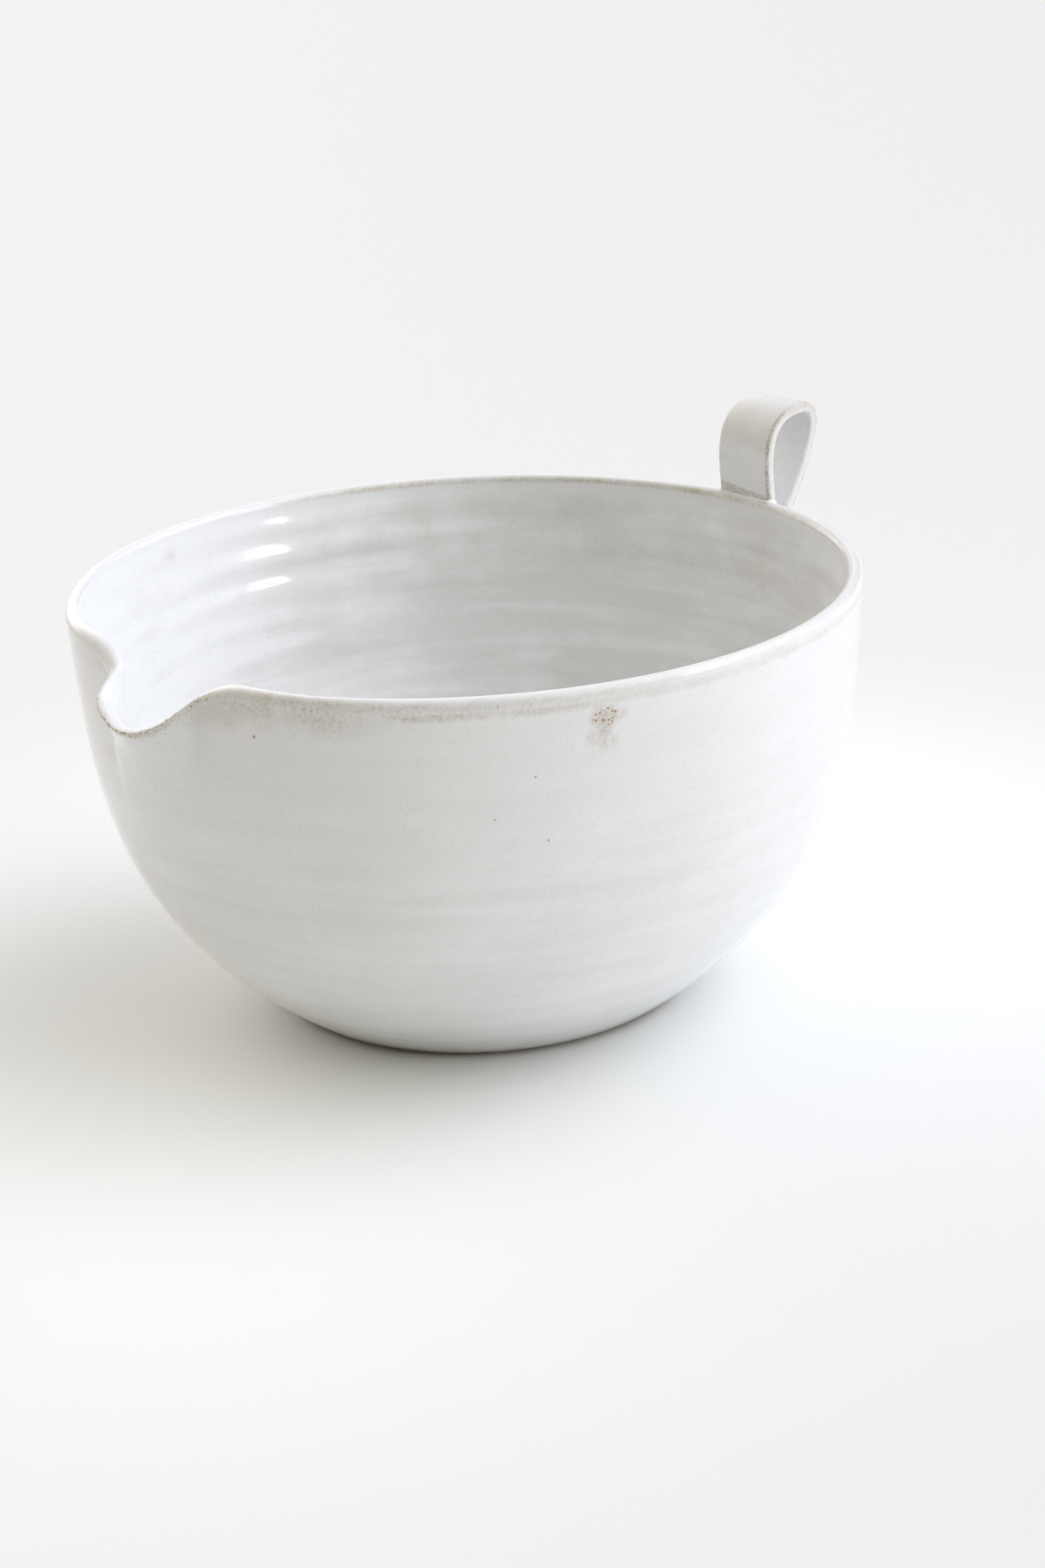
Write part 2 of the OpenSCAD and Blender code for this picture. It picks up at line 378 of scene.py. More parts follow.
def spaced(count, crowd):
    """Shares from 0 to 1 that crowd towards 1."""
    return [1 - (1 - i / count) ** crowd for i in range(count + 1)]


def bowl_profile(bowl):
    """The turned outline from the middle of the underside, over the rim, to the middle of the floor."""
    edge_soft = 0.25 * MM
    outer_crowd, inner_crowd, rim_overlap = 1.6, 1.3, 0.4
    foot_r = bowl.foot_d / 2
    bevel_r = foot_r - bowl.foot_bevel
    recess_r = foot_r - bowl.foot_ring_w
    recess_top_r = recess_r - bowl.recess_h
    rim_round = bowl.rim_t / 2
    rim_mid_r = bowl.rim_d / 2 - rim_round

    # The wall starts above the bevel and gives way to the rim a little under the rim's middle
    t_foot = bowl.foot_bevel / wall_height(bowl)
    t_top = 1 - rim_overlap * rim_round / wall_height(bowl)
    t_floor = 1 - (1 + (foot_r - bowl.floor_mid_r) / belly_width(bowl)) ** (1 / bowl.belly)
    under = [(recess_top_r * i / UNDER_ROWS, bowl.recess_h) for i in range(UNDER_ROWS)]
    under += [
        (recess_top_r - edge_soft, bowl.recess_h), (recess_top_r + edge_soft, bowl.recess_h - edge_soft),
        (recess_r - edge_soft, edge_soft), (recess_r + edge_soft, 0), (recess_r + bowl.foot_ring_w / 2, 0),
        (bevel_r - edge_soft, 0), (bevel_r + edge_soft, edge_soft),
    ]
    outer = [outer_point(bowl, t_foot + (t_top - t_foot) * f) for f in spaced(OUTER_ROWS, outer_crowd)]
    squared = 2 / bowl.rim_square
    rim = []
    for tilt in [pi * i / RIM_ROWS for i in range(1, RIM_ROWS)]:
        out = copysign(abs(cos(tilt)) ** squared, cos(tilt))
        rim.append((rim_mid_r + rim_round * out, wall_height(bowl) + rim_round * sin(tilt) ** squared))
    inner = []
    for f in reversed(spaced(INNER_ROWS, inner_crowd)):
        inner.append(inner_point(bowl, t_top + (t_floor - t_top) * (1 - f)))
    return under + outer + rim + inner + [(0, inner[-1][1])]


def profile_mesh(bowl):
    """The outline as a line of points, each with its run: the way along the surface from the rim's top."""
    points = bowl_profile(bowl)
    runs = [0]
    for here, there in zip(points, points[1:]):
        runs.append(runs[-1] + hypot(there[0] - here[0], there[1] - here[1]))
    top = max(range(len(points)), key=lambda i: points[i][1])
    mesh = bpy.data.meshes.new("bowl_outline")
    mesh.from_pydata([(r, 0, z) for r, z in points], [(i, i + 1) for i in range(len(points) - 1)], [])
    run = mesh.attributes.new("run", "FLOAT", "POINT")
    run.data.foreach_set("value", [way - runs[top] for way in runs])
    return mesh


def turned_grid(tree, given):
    """A grid with one row for each point of the outline and one column for each step round the bowl.

    Beside it come each row's point and run, and each column's heading. Columns crowd towards the spout, which
    lies at heading 0.
    """
    rows = add(tree, "GeometryNodeAttributeDomainSize", given["Geometry"], component="MESH")
    grid = add(tree, "GeometryNodeMeshGrid", 1.0, 1.0, given["Columns"], rows)
    position = add(tree, POSITION)
    place = add(tree, SPLIT, position).node.outputs
    last_row = add(tree, "SUBTRACT", rows, 1.0)
    row = times(tree, add(tree, "ADD", place["Y"], 0.5), last_row)
    row = add(tree, "ROUND", row)
    sample = "GeometryNodeSampleIndex"
    point = add(tree, sample, given["Geometry"], position, row, data_type="FLOAT_VECTOR")
    point = add(tree, SPLIT, point).node.outputs
    run = add(tree, "GeometryNodeInputNamedAttribute", "run", data_type="FLOAT")
    run = add(tree, sample, given["Geometry"], run, row, data_type="FLOAT")
    turn = times(tree, place["X"], 2 * pi)
    crowded = times(tree, add(tree, "SINE", turn), given["Crowding"])
    heading = add(tree, "SUBTRACT", turn, crowded)
    return grid, point, run, heading


def pulled_spout(tree, given, around, depth):
    """How far the spout takes the wall out, in and up, at a way along the rim and a depth under it."""
    past = add(tree, "ABSOLUTE", around)
    past = add(tree, "SUBTRACT", past, given["Pinch at"])
    on_steep = add(tree, "LESS_THAN", past, 0.0)
    flank = add(tree, MIX, on_steep, given["Pinch gentle"], given["Pinch steep"])
    humps, fades = {}, {}
    for name, along, width in (
        ("Lip", around, given["Lip spread"]), ("Drop", around, given["Drop spread"]), ("Pinch", past, flank),
    ):
        share = add(tree, "DIVIDE", along, width)
        humps[name] = add(tree, "EXPONENT", times(tree, share, share, -1.0))

        # Each fades as a cube, to nothing at three times its reach or at the foot
        end = times(tree, given[name + " reach"], 3.0)
        end = add(tree, "MINIMUM", end, given["Wall height"])
        share = add(tree, "DIVIDE", depth, end)
        left = add(tree, "SUBTRACT", 1.0, share, use_clamp=True)
        fades[name] = add(tree, "POWER", left, 3.0)
    pulled = times(tree, humps["Lip"], fades["Lip"], given["Lip out"])
    pinched = times(tree, humps["Pinch"], fades["Pinch"], given["Pinch in"])
    raised = times(tree, humps["Pinch"], given["Pinch rise"])
    dropped = times(tree, humps["Drop"], given["Lip drop"])
    lifted = add(tree, "SUBTRACT", raised, dropped)
    return pulled, pinched, times(tree, lifted, fades["Drop"])


def finger_marks(tree, given):
    """How far the finger marks and the wall's wobble move each point of the bowl.

    The marks climb in a spiral, uneven in strength, deeper inside than out.
    """
    here = add(tree, POSITION)
    flat = add(tree, SPLIT, here).node.outputs
    run = add(tree, "GeometryNodeInputNamedAttribute", "run", data_type="FLOAT")
    spin = add(tree, "ARCTAN2", flat["Y"], flat["X"])
    noises = {}
    for name, size, detail in (("stray", 45 * MM, 2.0), ("strength", 30 * MM, 2.0), ("sway", 120 * MM, 1.0)):
        noises[name] = add(tree, NOISE, here, given["Seed"], 1 / size, detail, noise_dimensions="4D")
    climb = times(tree, add(tree, "DIVIDE", run, given["Ring gap"]), 2 * pi)
    most_stray = 7.0
    phase = add(tree, "ADD", add(tree, "ADD", climb, spin), times(tree, noises["stray"], most_stray))
    wave = add(tree, "SINE", phase)
    strength = add(tree, MAP, noises["strength"], 0.38, 0.62, 0.25, 1.0)

    # Inside they start under the rim, and high up they go deeper on one side
    inside = add(tree, MAP, run, 2 * MM, 8 * MM)
    aside = add(tree, "SUBTRACT", spin, given["Deep side"])
    aside = add(tree, "ABSOLUTE", aside)
    deeper = add(tree, MAP, aside, 0.5, 0.1, 0.0, given["Deeper"], **SMOOTH)
    high_up = add(tree, MAP, run, 34 * MM, 27 * MM)
    deeper = add(tree, "ADD", times(tree, deeper, high_up), 1.0)

    # Pulling the spout wiped them beside it, by the turn in radians, and low down they are fainter
    apart = add(tree, "ABSOLUTE", spin)
    wiped = add(tree, MAP, apart, 0.7, 1.45, 0.12, 1.0, **SMOOTH)
    faint = add(tree, MAP, run, 27 * MM, 40 * MM, 1.0, 0.4)
    inside = times(tree, inside, given["Ring in"], deeper, wiped, faint)
    outside = add(tree, MAP, run, -8 * MM, -70 * MM)
    outside = times(tree, outside, given["Ring out"])
    off_foot = add(tree, MAP, flat["Z"], 3 * MM, 7 * MM)
    marks = times(tree, wave, strength, add(tree, "ADD", inside, outside), off_foot)
    normal = add(tree, "GeometryNodeInputNormal")
    marks = add(tree, VECTOR, normal, marks, operation="SCALE")

    # The wobble leaves the foot true
    sway = add(tree, "SUBTRACT", noises["sway"], 0.5)
    above_foot = add(tree, MAP, flat["Z"], 6 * MM, 30 * MM)
    sway = times(tree, sway, given["Wobble"], above_foot)
    outward = add(tree, "ShaderNodeCombineXYZ", flat["X"], flat["Y"], 0.0)
    outward = add(tree, VECTOR, outward, operation="NORMALIZE")
    sway = add(tree, VECTOR, outward, sway, operation="SCALE")
    return add(tree, VECTOR, sway, marks, operation="ADD")


def thrown_bowl_tree(values):
    """Turns the outline into the bowl, pulls the spout and leaves the finger marks."""
    tree, given = new_tree("Thrown bowl", values)
    grid, point, run, heading = turned_grid(tree, given)
    around = times(tree, heading, given["Rim radius"])
    depth = add(tree, "SUBTRACT", given["Height"], point["Z"])
    pulled, pinched, lifted = pulled_spout(tree, given, around, depth)
    radius = add(tree, "SUBTRACT", add(tree, "ADD", point["X"], pulled), pinched)

    # The pole rows stay on the axis, whatever the spout does above them
    on_axis = add(tree, "LESS_THAN", point["X"], 0.1 * MM)
    radius = add(tree, MIX, on_axis, radius, 0.0)
    turned = add(
        tree, "ShaderNodeCombineXYZ",
        times(tree, radius, add(tree, "COSINE", heading)),
        times(tree, radius, add(tree, "SINE", heading)),
        add(tree, "ADD", point["Z"], lifted),
    )
    bowl = grid
    for name, value in (("run", run), ("around", around)):
        bowl = add(tree, "GeometryNodeStoreNamedAttribute", bowl, None, name, value, data_type="FLOAT")
    bowl = add(tree, "GeometryNodeSetPosition", bowl, None, turned)
    bowl = add(tree, "GeometryNodeMergeByDistance", bowl, None, 0.001 * MM)
    bowl = add(tree, "GeometryNodeSetPosition", bowl, None, None, finger_marks(tree, given))
    return finished(tree, given, bowl)


# Strap and the clay that holds it


def strap_tree(values):
    """Sweeps the strap's round-edged section along its path."""
    tree, given = new_tree("Pulled strap", values)
    path = add(tree, "GeometryNodeResampleCurve", given["Geometry"], None, given["Steps"], mode="COUNT")
    path = add(tree, "GeometryNodeSetCurveNormal", path, None, (0, 1, 0), mode="FREE")
    along = add(tree, "GeometryNodeSplineParameter").node.outputs["Length"]
    store = "GeometryNodeStoreNamedAttribute"
    path = add(tree, store, path, None, "along", along, data_type="FLOAT")
    section = add(tree, "GeometryNodeCurvePrimitiveQuadrilateral", given["Width"], given["Thick"])
    section = add(tree, "GeometryNodeFilletCurve", section, EDGE_STEPS, given["Edge"], mode="POLY")
    section = add(tree, "GeometryNodeSubdivideCurve", section, FACE_CUTS)
    spot = add(tree, SPLIT, add(tree, POSITION)).node.outputs
    for name, axis in (("across", "X"), ("thick", "Y")):
        section = add(tree, store, section, None, name, spot[axis], data_type="FLOAT")
    strap = add(tree, "GeometryNodeCurveToMesh", path, section, sockets={"Fill Caps": True})
    sway_size = 14 * MM
    sway = add(tree, NOISE, add(tree, POSITION), 1 / sway_size, 1.0)
    sway = times(tree, add(tree, "SUBTRACT", sway, 0.5), given["Wobble"])
    normal = add(tree, "GeometryNodeInputNormal")
    moved = add(tree, VECTOR, normal, sway, operation="SCALE")
    strap = add(tree, "GeometryNodeSetPosition", strap, None, None, moved)
    return finished(tree, given, strap)


def strap_path(bowl, strap):
    """The strap's middle line, from the rim over the crest to the wall, with both ends let into the clay."""
    let_in, tail_let_in = 2.2 * MM, 5.0 * MM
    rim_mid_r = bowl.rim_d / 2 - bowl.rim_t / 2
    tail_z = bowl.height - strap.tail_drop
    tail_r = wall_radius(bowl, tail_z / wall_height(bowl)) + strap.lute_t + 2 * strap.seat_gap
    leg = Vector((rim_mid_r + strap.leg_out, bowl.height + strap.lute_t + strap.seat_gap))
    crest = Vector((rim_mid_r + strap.crest_out, bowl.height + strap.crest_h - strap.thick / 2))
    tail = Vector((tail_r, tail_z))
    lean = Vector((sin(strap.tail_lean), cos(strap.tail_lean)))
    up = Vector((0, 1))
    out = Vector((1, 0))
    first, last = up * let_in / 3, -lean * tail_let_in / 3
    knots = [
        (leg - up * let_in, first, first),
        (leg, first, up * strap.leg_pull),
        (crest, out * strap.crest_pull_in, out * strap.crest_pull_far),
        (tail, -lean * strap.tail_pull, last),
        (tail - lean * tail_let_in, last, last),
    ]
    curve = bpy.data.curves.new("strap_path", "CURVE")
    curve.dimensions = "3D"
    curve.resolution_u = 32
    spline = curve.splines.new("BEZIER")
    spline.bezier_points.add(len(knots) - 1)
    for point, (at, back, on) in zip(spline.bezier_points, knots):
        point.handle_left_type = point.handle_right_type = "FREE"
        point.co = (-at.x, 0, at.y)
        point.handle_left = (-(at - back).x, 0, (at - back).y)
        point.handle_right = (-(at + on).x, 0, (at + on).y)
    return curve


def pad_mesh(name, front, back):
    """A closed pad between two grids of points that face each other."""
    rows, columns = len(front), len(front[0])
    count = rows * columns
    points = [p for row in front for p in row] + [p for row in back for p in row]
    faces = []
    for row in range(rows - 1):
        for column in range(columns - 1):
            near_by = row * columns + column
            beyond = count + near_by
            faces.append((near_by, near_by + 1, near_by + columns + 1, near_by + columns))
            faces.append((beyond, beyond + columns, beyond + columns + 1, beyond + 1))
    border = list(range(columns - 1)) + [row * columns + columns - 1 for row in range(rows - 1)]
    border += [count - 1 - column for column in range(columns - 1)]
    border += [row * columns for row in range(rows - 1, 0, -1)]
    for here, there in zip(border, border[1:] + border[:1]):
        faces.append((there, here, count + here, count + there))
    mesh = bpy.data.meshes.new(name)
    mesh.from_pydata(points, [], faces)
    solid = bmesh.new()
    solid.from_mesh(mesh)
    bmesh.ops.recalc_face_normals(solid, faces=solid.faces)
    solid.to_mesh(mesh)
    solid.free()
    mesh.shade_smooth()
    return mesh


def shares(count, low=-1.0, high=1.0):
    """Even steps from low to high."""
    return [low + (high - low) * i / count for i in range(count + 1)]


def rim_lute_mesh(bowl, strap):
    """The saddle of clay over the rim, smoothed out round the foot of the strap's inner leg."""
    sunk = 0.1 * MM
    start, wrap = radians(4), radians(146)
    feather_steep, feather_hollow = 2.5, 1.5
    rim_round = bowl.rim_t / 2
    back_off = -0.5 * rim_round
    rim_mid_r = bowl.rim_d / 2 - rim_round
    half = (strap.width / 2 + strap.lute_spread) / rim_mid_r

    def on_rim(f, g, off):
        tilt = start + wrap * g
        r = rim_mid_r + (rim_round + off) * cos(tilt) + strap.leg_out * sin(tilt) * (off > 0)
        return (-r * cos(half * f), r * sin(half * f), wall_height(bowl) + (rim_round + off) * sin(tilt))

    def proud(f, g):
        past = max(0, abs(f) * half * rim_mid_r - strap.width / 2) / strap.lute_spread
        feathered = min(1, feather_steep * sin(pi * g)) ** feather_hollow
        return -sunk + (strap.lute_rise + sunk) * max(0, 1 - past) ** LUTE_HOLLOW * feathered

    over = shares(LUTE_ROWS, 0, 1)
    across = shares(RIM_LUTE_COLUMNS)
    front = [[on_rim(f, g, proud(f, g)) for g in over] for f in across]
    back = [[on_rim(f, g, back_off) for g in over] for f in across]
    return pad_mesh("rim_lute", front, back)


def wall_lute_mesh(bowl, strap):
    """The pad of clay on the wall, drawn up in a fillet round the end of the strap's outer leg."""
    sunk = 0.15 * MM
    back_off = -1 * MM
    tail_z = bowl.height - strap.tail_drop
    foot_h = strap.thick / sin(strap.tail_lean) / 2
    half_w = strap.width / 2 + strap.lute_spread
    half_h = foot_h + strap.lute_spread

    def on_wall(y, z, off):
        r = wall_radius(bowl, z / wall_height(bowl)) + off
        return (-sqrt(r * r - y * y), y, z)

    def proud(y, z):
        beside = hypot(max(0, abs(y) - strap.width / 2), max(0, abs(z - tail_z) - foot_h))
        left = max(0, 1 - beside / strap.lute_spread)
        return -sunk + (strap.lute_t + sunk) * left ** LUTE_HOLLOW

    across = shares(WALL_LUTE_COLUMNS)
    grid = [[(half_w * f, tail_z + half_h * g) for f in across] for g in shares(LUTE_ROWS)]
    front = [[on_wall(y, z, proud(y, z)) for y, z in row] for row in grid]
    back = [[on_wall(y, z, back_off) for y, z in row] for row in grid]
    return pad_mesh("wall_lute", front, back)


# Glaze. The places and sizes of its masks are in millimetres


# How the glaze varies over a piece, in masks, or in numbers where it is the same all over. Mottle is how
# strongly it clouds. The next one makes the glaze whiter or greyer than usual: where it lies thicker or
# thinner, and painted light and shade.
Breaks = namedtuple("Breaks", "thin iron bare mottle pooled pinholes", defaults=(0.0, 0.0, 0.5, 0.0, 0.0))


def near(tree, value, middle, half):
    """A soft mask that is 1 where a value is at the middle and 0 where it is half or more away."""
    off = add(tree, "SUBTRACT", value, middle * MM)
    off = add(tree, "ABSOLUTE", off)
    return add(tree, MAP, off, half * MM, 0.0, **SMOOTH)


def patch(tree, ways, around, run, half_w, half_h):
    """A soft mask of one patch of the bowl, by ways along the rim and down the surface."""
    return times(tree, near(tree, ways[0], around, half_w), near(tree, ways[1], run, half_h))


def strayed(tree, where, value, size, reach):
    """A value that strays by a reach either way, in lobes of a size, so that what follows it is ragged."""
    stray = add(tree, NOISE, where, 1 / (size * MM), 3.0)
    stray = add(tree, MAP, stray, 0.25, 0.75, -reach * MM, reach * MM)
    return add(tree, "ADD", value, stray)


def patches(tree, where, size, low, high):
    """Patches of a size, as a mask from low to high."""
    mask = add(tree, NOISE, where, 1 / (size * MM), 4.0, 0.65)
    return add(tree, MAP, mask, 0.36, 0.62, low, high)


def turned_to(tree, where, degrees, low, high):
    """A mask that rises between two distances out along a turn about the bowl's axis."""
    turn = radians(degrees)
    out = add(tree, VECTOR, where, (cos(turn), sin(turn), 0), operation="DOT_PRODUCT")
    return add(tree, MAP, out, low * MM, high * MM)


def strongest_of(tree, weighed):
    """The strongest of several masks, each given with the share that it counts for."""
    return most(tree, *[times(tree, mask, share) for mask, share in weighed])


def strewn_pinholes(tree, where, around, run):
    """Pinholes up to 0.75 mm in radius, strewn outside on the half that faces away from the camera."""
    gap = 22 * MM

    # The largest radius and its soft edge, as shares of the gap
    largest, soft = 0.034, 0.008
    unrolled = add(tree, "ShaderNodeCombineXYZ", around, run, 0.0)
    cell = add(tree, "ShaderNodeTexVoronoi", voronoi_dimensions="2D", sockets={
        "Vector": unrolled, "Scale": 1 / gap,
    })
    chance = add(tree, "ShaderNodeSeparateColor", cell.node.outputs["Color"])
    radius = add(tree, MAP, chance, 0.6, 1.0, 0.0, largest)
    hole = add(tree, "SUBTRACT", radius, cell)
    hole = add(tree, MAP, hole, 0.0, soft, 0.0, 0.9)
    far_half = turned_to(tree, where, -128, -10, 10)
    outside = add(tree, MAP, run, -6 * MM, -8 * MM)
    return times(tree, hole, far_half, outside)


def bowl_breaks(tree, where):
    """How the glaze varies over the bowl.

    Places are given along the rim from the lip's middle, and as a run along the surface from the rim's top,
    which is positive down the inside and negative down the outside.
    """
    run, around = (
        add(tree, ATTRIBUTE, attribute_name=name).node.outputs["Fac"] for name in ("run", "around")
    )
    height = add(tree, SPLIT, where).node.outputs["Z"]
    down = strayed(tree, where, run, 5, 1.4)
    beside = strayed(tree, where, around, 6, 3.5)
    level = strayed(tree, where, run, 9, 0.45)
    crisp, frayed, ragged = (around, run), (around, down), (beside, down)

    # The rim breaks on its inner edge at the back and here and there on its top
    back = turned_to(tree, where, -158, 38, 72)
    edge = times(tree, near(tree, run, 2.2, 1.7), back, patches(tree, where, 12, 0.25, 0.6))
    crest = times(tree, patch(tree, crisp, 170, -1.6, 110, 0.5), patches(tree, where, 9, 0.0, 1.0))

    # A band of thin glaze hangs under it, with a line where the bead of glaze ends
    beaded = most(tree, near(tree, around, 75, 150), patches(tree, where, 40, 0.1, 0.6))
    band = times(tree, near(tree, down, -3.6, 2.6), beaded)
    line = times(tree, near(tree, level, -5.5, 2.3), patches(tree, where, 9, 0.2, 1.0), beaded)

    # The lip is worn along its edge, and the glaze is smudged beside it
    lip = most(tree, patch(tree, frayed, 7, -3, 39, 4.4), patch(tree, frayed, -8, -3, 15, 4.4))
    lip_edge = patch(tree, crisp, -3, -1.9, 20, 2.2)
    flank = patch(tree, crisp, 14, -5, 26, 6)
    smudge = times(tree, patch(tree, ragged, 46, -5.5, 44, 9.5), patches(tree, where, 18, 0.35, 1.0))

    # Stains: one under the rim with specks at its heart, a spot inside, and warm clouds towards the handle
    stain = patch(tree, ragged, 133, -12, 5.5, 10)
    heart = patch(tree, ragged, 133, -9.5, 5, 6)
    spot = patch(tree, ragged, -141, 8, 5, 4)
    cloud = times(tree, patches(tree, where, 20, 0.0, 0.22), near(tree, run, 18, 26), back)

    # Single pinholes in front, by place, depth and half width, and strewn ones behind
    pinholes = [strewn_pinholes(tree, where, around, run)]
    singles = ((40.5, 13.4, 0.7), (114.7, 23.4, 0.45), (117.6, 41.5, 0.5), (103.7, 34.4, 0.4))
    for along, depth, half in singles:
        pinholes.append(patch(tree, crisp, along, -depth, half, half))

    # The foot is bare. The glaze clouds most inside and low down outside. Inside, painted light whitens the
    # upper wall on one side of the spout, where the light falls, and painted shade greys the inside deeper
    # down
    foot = strayed(tree, where, height, 5, 0.5)
    mottle = add(tree, MAP, run, 2 * MM, 10 * MM, 0.25, 1.2)
    low_outside = add(tree, MAP, run, -25 * MM, -60 * MM, 0.0, 0.35)
    inside = add(tree, MAP, run, 0.0, 6 * MM)
    painted_lit_side = turned_to(tree, where, -38, 0.0, 80)
    painted_deep_shade = add(tree, MAP, run, 10 * MM, 60 * MM, 0.0, -0.7)
    return Breaks(
        thin=strongest_of(tree, (
            (edge, 1.0), (crest, 0.4), (band, 0.32), (line, 0.55), (lip, 0.55), (smudge, 0.7), (stain, 0.6),
            (spot, 0.3), (cloud, 1.0),
        )),
        iron=strongest_of(tree, (
            (crest, 0.5), (band, 0.5), (line, 0.6), (lip, 1.0), (lip_edge, 1.5), (flank, 0.55), (smudge, 0.5),
            (heart, 1.0),
        )),
        bare=add(tree, MAP, foot, 1.7 * MM, 1.2 * MM),
        mottle=add(tree, "ADD", mottle, low_outside),
        pooled=add(tree, "ADD", painted_deep_shade, times(tree, inside, painted_lit_side, 1.6)),
        pinholes=most(tree, *pinholes),
    )


def strap_breaks(tree, where, strap):
    """The strap's glaze breaks along the corners of its outer face and at its foot on the rim."""
    values, to_edge = {}, {}
    for name, half in (("across", strap.width / 2), ("thick", strap.thick / 2)):
        values[name] = add(tree, ATTRIBUTE, attribute_name=name).node.outputs["Fac"]
        size = add(tree, "ABSOLUTE", values[name])
        to_edge[name] = add(tree, MAP, size, half - strap.edge, half)
    # Breaks on the loop's inner face count a fifth as much, which is part of the painted light there
    in_loop_share = 0.2
    outer_face = add(tree, MAP, values["thick"], 0.2 * MM, -0.2 * MM, in_loop_share, 1.0)
    corner = add(tree, "ADD", to_edge["across"], to_edge["thick"])
    corner = add(tree, MAP, corner, 0.98, 1.36, 0.0, 0.8, **SMOOTH)
    corner = times(tree, corner, outer_face, patches(tree, where, 7, 0.35, 1.0))

    # The foot's line slants across the strap
    along = add(tree, ATTRIBUTE, attribute_name="along").node.outputs["Fac"]
    foot = strayed(tree, where, along, 6, 0.4)
    slant = add(tree, MAP, values["across"], -strap.width / 2, strap.width / 2, 0.0, 1.8 * MM)
    foot = add(tree, "ADD", foot, slant)
    foot = add(tree, MAP, foot, 4.9 * MM, 3.4 * MM, 0.0, 0.6, **SMOOTH)
    foot = times(tree, foot, outer_face)
    side = times(tree, to_edge["across"], 0.25)
    worn = patches(tree, where, 14, 0.0, 0.12)

    # Painted light whitens the inner face of the loop, and painted shade greys the outer face from 12 to 48
    # mm along the strap from its foot on the rim
    painted_loop_light = add(tree, MAP, outer_face, 1.0, in_loop_share, 0.2, 1.0)
    painted_leg_shade = times(tree, near(tree, along, 30, 18), outer_face, -1.2)
    return Breaks(
        thin=most(tree, corner, foot, side, worn),
        iron=times(tree, corner, 0.25),
        pooled=add(tree, "ADD", painted_loop_light, painted_leg_shade),
    )


def lute_breaks(tree, where):
    """The glaze lies thin in patches over the worked clay."""
    return Breaks(thin=patches(tree, where, 6, 0.0, 0.25), pooled=0.4)


def new_material(name):
    """A material with an empty node tree, that tree and the Object coordinates in it."""
    material = bpy.data.materials.new(name)
    material.use_nodes = True
    tree = material.node_tree
    tree.nodes.clear()
    return material, tree, add(tree, "ShaderNodeTexCoord").node.outputs["Object"]


def glaze(name, colours, breaks, *sizes):
    """White satin glaze, poured over speckled stoneware and fired.

    It lies white where it pooled and turns grey where the clay shows through, in clouds and in streaks along
    the finger marks. Painted light whitens it in places and painted shade greys it. Edges break to tan, and
    iron in the clay bleeds through as brown specks.
    """
    material, tree, where = new_material(name)
    broken = breaks(tree, where, *sizes)

    # Clouds about 35 mm across, and streaks about 6 mm apart and 70 mm long that follow the wheel
    cloud_size, streak_gap, streak_long = 35 * MM, 6 * MM, 70 * MM
    cloud = add(tree, NOISE, where, 1 / cloud_size, 4.0, 0.6)
    wheel = (1 / streak_long, 1 / streak_long, 1 / streak_gap)
    streak = add(tree, "ShaderNodeMapping", where, sockets={"Scale": wheel})
    streak = add(tree, NOISE, streak, 1.0, 4.0, 0.6)
    cover = add(tree, "ADD", cloud, streak)
    cover = add(tree, MAP, cover, 0.75, 1.25, -1.0, 1.0)
    # Pooled glaze, and painted light and shade, move the cover towards white or grey
    cover = add(tree, "ADD", times(tree, cover, broken.mottle), broken.pooled)
    cover = add(tree, MAP, cover, -1.0, 1.0)
    paint = add(tree, MIX, cover, (*colours.grey, 1), (*colours.white, 1), data_type="RGBA")

    # Grit in the clay clouds the glaze, most where it is thin. Real grains are too fine to show, so they are
    # drawn coarser, 0.8 mm across
    grit_size = 0.8 * MM
    grit = add(tree, NOISE, where, 1 / grit_size, 2.0)
    grain = add(tree, MAP, grit, 0.5, 0.75, 0.0, 0.12)
    gritty = add(tree, MAP, grit, 0.36, 0.64, 0.5, 1.3)
    thin = most(tree, times(tree, broken.thin, gritty), grain)
    paint = add(tree, MIX, thin, paint, (*colours.tan, 1), data_type="RGBA")

    # Specks where iron bleeds, which grow with it, sit about 1 mm apart and are of all sizes
    speck_gap = 1.0 * MM
    speck = add(tree, "ShaderNodeTexVoronoi", sockets={"Vector": where, "Scale": 1 / speck_gap})
    chance = add(tree, "ShaderNodeSeparateColor", speck.node.outputs["Color"])
    grown = times(tree, broken.iron, add(tree, MAP, chance, 0.1, 1.0, 0.1, 0.62))
    speck = add(tree, "SUBTRACT", grown, speck)
    speck = add(tree, MAP, speck, 0.0, 0.15, 0.0, 0.8)
    speck = most(tree, speck, broken.pinholes)
    paint = add(tree, MIX, speck, paint, (*colours.iron, 1), data_type="RGBA")
    paint = add(tree, MIX, broken.bare, paint, (*colours.clay, 1), data_type="RGBA")
    gloss = add(tree, MAP, cloud, 0.3, 0.7, 0.1, 0.19)
    gloss = add(tree, MIX, broken.bare, gloss, 0.8)

    # The glaze's skin ripples like an orange's peel, about 3 mm from dimple to dimple
    peel_gap, peel_h = 3 * MM, 0.12 * MM
    peel = add(tree, NOISE, where, 1 / peel_gap, 2.0)
    peel = add(tree, MIX, broken.bare, peel, grit)
    skin = add(tree, "ShaderNodeBump", sockets={"Strength": 0.25, "Distance": peel_h, "Height": peel})
    shader = add(tree, "ShaderNodeBsdfPrincipled", sockets={
        "Base Color": paint, "Roughness": gloss, "IOR": 1.5, "Normal": skin,
    })
    add(tree, "ShaderNodeOutputMaterial", shader)
    return material


# Stage


def photo_turn(stage):
    """Turns a place given as right, away and up from the camera's side to where it lies round the bowl."""
    return Matrix.Rotation(stage.turn, 4, "Z")


